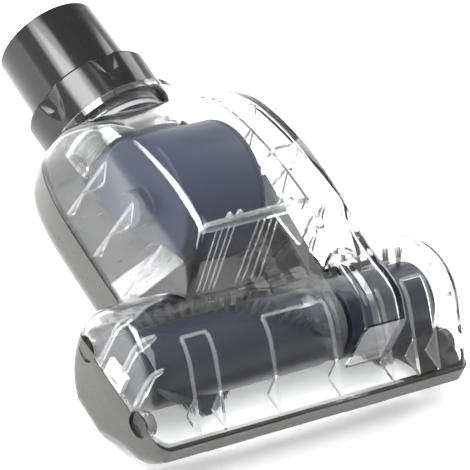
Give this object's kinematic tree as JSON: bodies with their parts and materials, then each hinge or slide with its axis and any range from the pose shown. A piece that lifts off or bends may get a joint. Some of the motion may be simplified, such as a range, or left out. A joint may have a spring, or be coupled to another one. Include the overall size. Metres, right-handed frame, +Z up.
{
  "type": "vacuum turbo brush",
  "caption": "Upholstery-size air-driven turbo brush: black base, clear ribbed hood, belt-driven brush roller and a swivelling wand neck.",
  "frame": {"origin": "centre of the footprint, on the surface that the brush stands on", "axes": "+Z up, +Y along the brush from its mouth to the neck, +X along the roller to the belt's side"},
  "size_m": [0.1424, 0.182, 0.0664],
  "materials": {
    "black_plastic": "moulded black ABS, glossy",
    "clear_plastic": "clear moulded polycarbonate, polished",
    "inner_plastic": "dark blue-black moulded plastic, satin",
    "roller_plastic": "dark moulded plastic, satin",
    "pulley_plastic": "dark moulded plastic",
    "white_plastic": "white low-friction moulded plastic",
    "wheel_plastic": "dark grey moulded plastic",
    "bristle": "black nylon filament tufts",
    "belt_rubber": "black moulded rubber",
    "steel": "ground steel",
    "bronze": "sintered bronze",
    "felt": "grey felt"
  },
  "bodies": {
    "casing": {"base_shell": "black_plastic", "clear_hood": "clear_plastic", "turbine_housing": "inner_plastic", "turbine_end_plate": "inner_plastic", "turbine_bearing_left": "steel", "turbine_bearing_right": "steel", "bearing_block_left": "white_plastic", "bearing_block_right": "white_plastic", "roller_pin_left": "steel", "roller_pin_right": "steel", "drive_belt": "belt_rubber", "caster_pin_left": "steel", "caster_pin_right": "steel"},
    "roller": {"brush_roller": "roller_plastic", "roller_pulley": "pulley_plastic", "roller_bush_left": "bronze", "roller_bush_right": "bronze", "bristle_row_a_long": "bristle", "bristle_row_a_short": "bristle", "bristle_row_b_long": "bristle", "bristle_row_b_short": "bristle"},
    "turbine": {"turbine_wheel": "white_plastic", "turbine_shaft": "steel", "drive_pulley": "pulley_plastic"},
    "neck": {"neck_tube": "black_plastic", "neck_seal": "felt"},
    "collar": {"neck_collar": "black_plastic"},
    "caster_left": {"caster_wheel_left": "wheel_plastic"},
    "caster_right": {"caster_wheel_right": "wheel_plastic"}
  },
  "joints": [
    {"name": "roller_spin", "type": "hinge", "parent": "casing", "child": "roller", "pos_m": [0, -0.05674, 0.022], "axis": [1, 0, 0], "continuous": true},
    {"name": "turbine_spin", "type": "hinge", "parent": "casing", "child": "turbine", "pos_m": [0, -0.00124, 0.0379], "axis": [1, 0, 0], "continuous": true},
    {"name": "neck_swivel", "type": "hinge", "parent": "casing", "child": "neck", "pos_m": [0, 0.04496, 0.024], "axis": [0, 0.9986, 0.0523], "continuous": true},
    {"name": "collar_turn", "type": "hinge", "parent": "casing", "child": "collar", "pos_m": [0, 0.04496, 0.024], "axis": [0, 0.9986, 0.0523], "range_deg": [0, 40]},
    {"name": "caster_left_spin", "type": "hinge", "parent": "casing", "child": "caster_left", "pos_m": [-0.024, 0.01726, 0.006], "axis": [1, 0, 0], "continuous": true},
    {"name": "caster_right_spin", "type": "hinge", "parent": "casing", "child": "caster_right", "pos_m": [0.024, 0.01726, 0.006], "axis": [1, 0, 0], "continuous": true}
  ],
  "couplings": [
    {"joint": "roller_spin", "follows": "turbine_spin", "ratio": 0.5}
  ]
}
